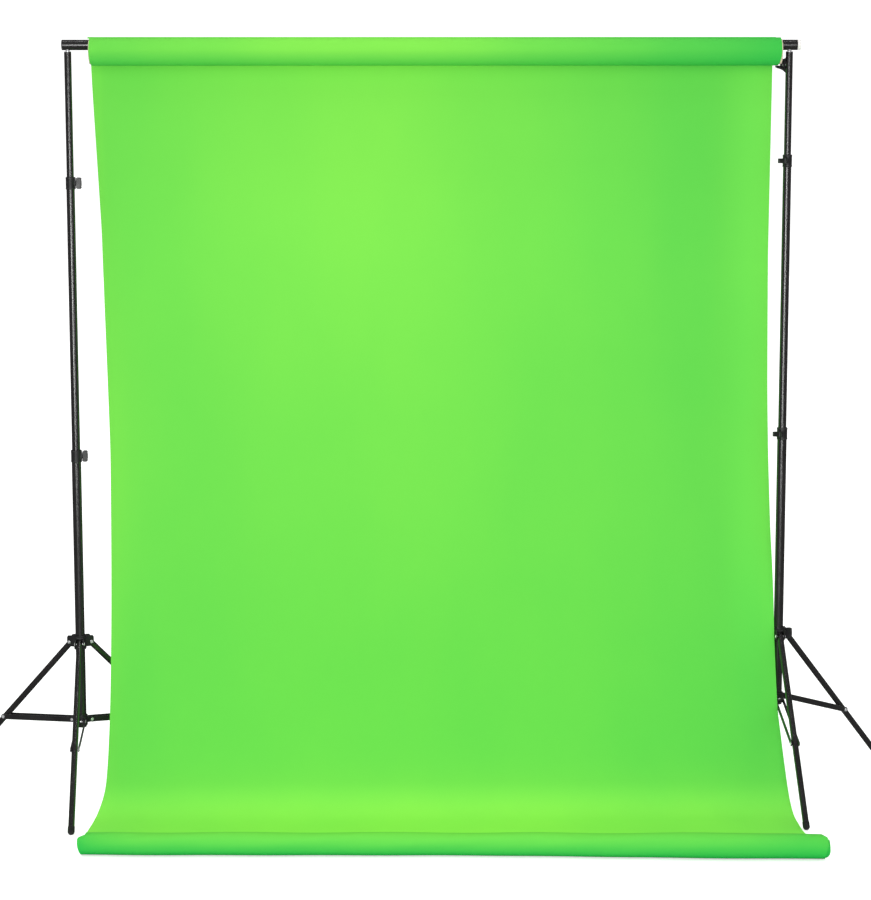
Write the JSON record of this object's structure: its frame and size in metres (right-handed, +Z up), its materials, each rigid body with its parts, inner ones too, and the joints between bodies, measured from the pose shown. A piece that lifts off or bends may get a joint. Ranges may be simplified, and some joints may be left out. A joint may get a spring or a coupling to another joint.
{
  "type": "background support system",
  "caption": "Telescopic folding stands carry a crossbar and a hanging roll of green background sheet that sweeps down onto the floor.",
  "frame": {"origin": "on the floor, at the middle of the whole set-up's footprint (bottom centre of its bounding box)", "axes": "+X to the right as seen from the front, +Y to the back, +Z up; the front of the sheet faces -Y"},
  "size_m": [2.7132, 0.9356, 2.0864],
  "materials": {
    "black_tube": "black powder-coated tube, satin",
    "crossbar_paint": "black satin paint",
    "black_casting": "black moulded nylon, fine texture",
    "knob_plastic": "black moulded plastic",
    "brace_steel": "black painted steel strip, worn at the edges",
    "chrome_parts": "bright plated steel",
    "foot_rubber": "matt black rubber",
    "end_cap_plastic": "pale moulded plastic",
    "core_board": "spiral-wound cardboard",
    "green_sheet": "matt green background sheet",
    "clamp_plastic": "black moulded nylon"
  },
  "bodies": {
    "left_base": {"left_base_tube": "black_tube", "left_lower_collar": "black_casting", "left_spreader": "black_casting", "left_spreader_rivets": "chrome_parts", "sheet_lower": "green_sheet", "sheet_floor_roll": "green_sheet"},
    "left_mid": {"left_mid_tube": "black_tube", "left_upper_collar": "black_casting", "sheet_upper": "green_sheet"},
    "left_top": {"left_top_tube": "black_tube", "left_top_stud": "chrome_parts"},
    "left_hub": {"left_leg_hub": "black_casting", "left_hub_rivets": "chrome_parts"},
    "left_lower_collar_knob": {"left_lower_collar_knob": "knob_plastic"},
    "left_upper_collar_knob": {"left_upper_collar_knob": "knob_plastic"},
    "left_hub_knob": {"left_hub_knob": "knob_plastic"},
    "left_leg_front": {"left_leg_front": "black_tube", "left_foot_front": "foot_rubber"},
    "left_brace_front": {"left_brace_front": "brace_steel", "left_brace_rivet_front": "chrome_parts"},
    "left_leg_right": {"left_leg_right": "black_tube", "left_foot_right": "foot_rubber"},
    "left_brace_right": {"left_brace_right": "brace_steel", "left_brace_rivet_right": "chrome_parts"},
    "left_leg_left": {"left_leg_left": "black_tube", "left_foot_left": "foot_rubber"},
    "left_brace_left": {"left_brace_left": "brace_steel", "left_brace_rivet_left": "chrome_parts"},
    "right_base": {"right_base_tube": "black_tube", "right_lower_collar": "black_casting", "right_spreader": "black_casting", "right_spreader_rivets": "chrome_parts"},
    "right_mid": {"right_mid_tube": "black_tube", "right_upper_collar": "black_casting"},
    "right_top": {"right_top_tube": "black_tube", "right_top_stud": "chrome_parts"},
    "right_hub": {"right_leg_hub": "black_casting", "right_hub_rivets": "chrome_parts"},
    "right_lower_collar_knob": {"right_lower_collar_knob": "knob_plastic"},
    "right_upper_collar_knob": {"right_upper_collar_knob": "knob_plastic"},
    "right_hub_knob": {"right_hub_knob": "knob_plastic"},
    "right_leg_front": {"right_leg_front": "black_tube", "right_foot_front": "foot_rubber"},
    "right_brace_front": {"right_brace_front": "brace_steel", "right_brace_rivet_front": "chrome_parts"},
    "right_leg_right": {"right_leg_right": "black_tube", "right_foot_right": "foot_rubber"},
    "right_brace_right": {"right_brace_right": "brace_steel", "right_brace_rivet_right": "chrome_parts"},
    "right_leg_left": {"right_leg_left": "black_tube", "right_foot_left": "foot_rubber"},
    "right_brace_left": {"right_brace_left": "brace_steel", "right_brace_rivet_left": "chrome_parts"},
    "crossbar": {"crossbar_sections": "crossbar_paint", "crossbar_end_caps": "end_cap_plastic", "clamp_fixed_half": "clamp_plastic", "clamp_pin_and_spring": "chrome_parts"},
    "roll": {"roll_core": "core_board", "sheet_roll": "green_sheet"},
    "clamp_jaw": {"clamp_moving_half": "clamp_plastic"}
  },
  "joints": [
    {"name": "left_leg_fold", "type": "slide", "parent": "left_base", "child": "left_hub", "axis": [0, 0, 1], "range_m": [0, 0.34512]},
    {"name": "left_lower_collar_knob_turn", "type": "hinge", "parent": "left_base", "child": "left_lower_collar_knob", "pos_m": [-0.9389, 0.21625, 0.94637], "axis": [1, 0, 0], "range_deg": [0, 450]},
    {"name": "left_upper_collar_knob_turn", "type": "hinge", "parent": "left_mid", "child": "left_upper_collar_knob", "pos_m": [-0.9389, 0.21625, 1.69537], "axis": [1, 0, 0], "range_deg": [0, 450]},
    {"name": "left_hub_knob_turn", "type": "hinge", "parent": "left_hub", "child": "left_hub_knob", "pos_m": [-0.96034, 0.2362, 0.42817], "axis": [-0.0721, 0.9974, 0], "range_deg": [0, 450]},
    {"name": "left_leg_front_hinge", "type": "hinge", "parent": "left_hub", "child": "left_leg_front", "pos_m": [-0.95681, 0.18733, 0.42217], "axis": [0.9974, 0.0721, 0], "range_deg": [0, 40.73]},
    {"name": "left_brace_front_hinge", "type": "hinge", "parent": "left_base", "child": "left_brace_front", "pos_m": [-0.95702, 0.19032, 0.20037], "axis": [-0.9974, -0.0721, 0], "range_deg": [0, 88.4]},
    {"name": "left_leg_right_hinge", "type": "hinge", "parent": "left_hub", "child": "left_leg_right", "pos_m": [-0.9349, 0.23252, 0.42217], "axis": [-0.5612, 0.8277, 0], "range_deg": [0, 40.73]},
    {"name": "left_brace_right_hinge", "type": "hinge", "parent": "left_base", "child": "left_brace_right", "pos_m": [-0.93738, 0.23084, 0.20037], "axis": [0.5612, -0.8277, 0], "range_deg": [0, 88.4]},
    {"name": "left_leg_left_hinge", "type": "hinge", "parent": "left_hub", "child": "left_leg_left", "pos_m": [-0.98499, 0.2289, 0.42217], "axis": [-0.4362, -0.8998, 0], "range_deg": [0, 40.73]},
    {"name": "left_brace_left_hinge", "type": "hinge", "parent": "left_base", "child": "left_brace_left", "pos_m": [-0.9823, 0.22759, 0.20037], "axis": [0.4362, 0.8998, 0], "range_deg": [0, 88.4]},
    {"name": "right_leg_fold", "type": "slide", "parent": "right_base", "child": "right_hub", "axis": [0, 0, 1], "range_m": [0, 0.38822]},
    {"name": "right_lower_collar_knob_turn", "type": "hinge", "parent": "right_base", "child": "right_lower_collar_knob", "pos_m": [0.98363, 0.19987, 1.00521], "axis": [-0.5736, -0.8192, 0], "range_deg": [0, 450]},
    {"name": "right_upper_collar_knob_turn", "type": "hinge", "parent": "right_mid", "child": "right_upper_collar_knob", "pos_m": [0.98363, 0.19987, 1.75421], "axis": [-0.5736, -0.8192, 0], "range_deg": [0, 450]},
    {"name": "right_hub_knob_turn", "type": "hinge", "parent": "right_hub", "child": "right_hub_knob", "pos_m": [1.01274, 0.20683, 0.44391], "axis": [0.8821, -0.4712, 0], "range_deg": [0, 450]},
    {"name": "right_leg_front_hinge", "type": "hinge", "parent": "right_hub", "child": "right_leg_front", "pos_m": [0.99606, 0.18727, 0.43791], "axis": [0.9995, 0.033, 0], "range_deg": [0, 38.44]},
    {"name": "right_brace_front_hinge", "type": "hinge", "parent": "right_base", "child": "right_brace_front", "pos_m": [0.99596, 0.19026, 0.25921], "axis": [-0.9995, -0.033, 0], "range_deg": [0, 101.32]},
    {"name": "right_leg_right_hinge", "type": "hinge", "parent": "right_hub", "child": "right_leg_right", "pos_m": [1.01972, 0.23157, 0.43791], "axis": [-0.5283, 0.8491, 0], "range_deg": [0, 38.44]},
    {"name": "right_brace_right_hinge", "type": "hinge", "parent": "right_base", "child": "right_brace_right", "pos_m": [1.01717, 0.22999, 0.25921], "axis": [0.5283, -0.8491, 0], "range_deg": [0, 101.32]},
    {"name": "right_leg_left_hinge", "type": "hinge", "parent": "right_hub", "child": "right_leg_left", "pos_m": [0.96952, 0.22991, 0.43791], "axis": [-0.4712, -0.8821, 0], "range_deg": [0, 38.44]},
    {"name": "right_brace_left_hinge", "type": "hinge", "parent": "right_base", "child": "right_brace_left", "pos_m": [0.97217, 0.2285, 0.25921], "axis": [0.4712, 0.8821, 0], "range_deg": [0, 101.32]},
    {"name": "left_mid_slide", "type": "slide", "parent": "left_base", "child": "left_mid", "axis": [0, 0, 1], "range_m": [-0.68, 0], "deforming": ["sheet_lower"]},
    {"name": "left_top_slide", "type": "slide", "parent": "left_mid", "child": "left_top", "axis": [0, 0, 1], "range_m": [-0.2, 0.34], "deforming": ["sheet_upper"]},
    {"name": "crossbar_lift", "type": "slide", "parent": "left_top", "child": "crossbar", "axis": [0, 0, 1], "range_m": [0, 0.06]},
    {"name": "right_stud_lift", "type": "slide", "parent": "crossbar", "child": "right_top", "axis": [0, 0, -1], "range_m": [0, 0.06]},
    {"name": "right_top_slide", "type": "slide", "parent": "right_top", "child": "right_mid", "axis": [0, 0, -1], "range_m": [-0.2, 0.34]},
    {"name": "right_mid_slide", "type": "slide", "parent": "right_mid", "child": "right_base", "axis": [0, 0, -1], "range_m": [-0.68, 0]},
    {"name": "roll_turn", "type": "hinge", "parent": "crossbar", "child": "roll", "pos_m": [0.0346, 0.21625, 2.04836], "axis": [1, 0, 0], "continuous": true},
    {"name": "clamp_open", "type": "hinge", "parent": "crossbar", "child": "clamp_jaw", "pos_m": [0.98232, 0.23356, 2.0136], "axis": [0.8192, -0.5736, 0], "range_deg": [0, 24], "stiffness_Nm_per_rad": 1.2}
  ],
  "couplings": [
    {"joint": "left_leg_front_hinge", "follows": "left_leg_fold", "rad_per_m": 2.0597},
    {"joint": "left_brace_front_hinge", "follows": "left_leg_fold", "rad_per_m": 4.4703},
    {"joint": "left_leg_right_hinge", "follows": "left_leg_fold", "rad_per_m": 2.0597},
    {"joint": "left_brace_right_hinge", "follows": "left_leg_fold", "rad_per_m": 4.4703},
    {"joint": "left_leg_left_hinge", "follows": "left_leg_fold", "rad_per_m": 2.0597},
    {"joint": "left_brace_left_hinge", "follows": "left_leg_fold", "rad_per_m": 4.4703},
    {"joint": "right_leg_front_hinge", "follows": "right_leg_fold", "rad_per_m": 1.7282},
    {"joint": "right_brace_front_hinge", "follows": "right_leg_fold", "rad_per_m": 4.5549},
    {"joint": "right_leg_right_hinge", "follows": "right_leg_fold", "rad_per_m": 1.7282},
    {"joint": "right_brace_right_hinge", "follows": "right_leg_fold", "rad_per_m": 4.5549},
    {"joint": "right_leg_left_hinge", "follows": "right_leg_fold", "rad_per_m": 1.7282},
    {"joint": "right_brace_left_hinge", "follows": "right_leg_fold", "rad_per_m": 4.5549},
    {"joint": "right_mid_slide", "follows": "left_mid_slide", "ratio": 1},
    {"joint": "right_top_slide", "follows": "left_top_slide", "ratio": 1},
    {"joint": "right_stud_lift", "follows": "crossbar_lift", "ratio": 1}
  ]
}
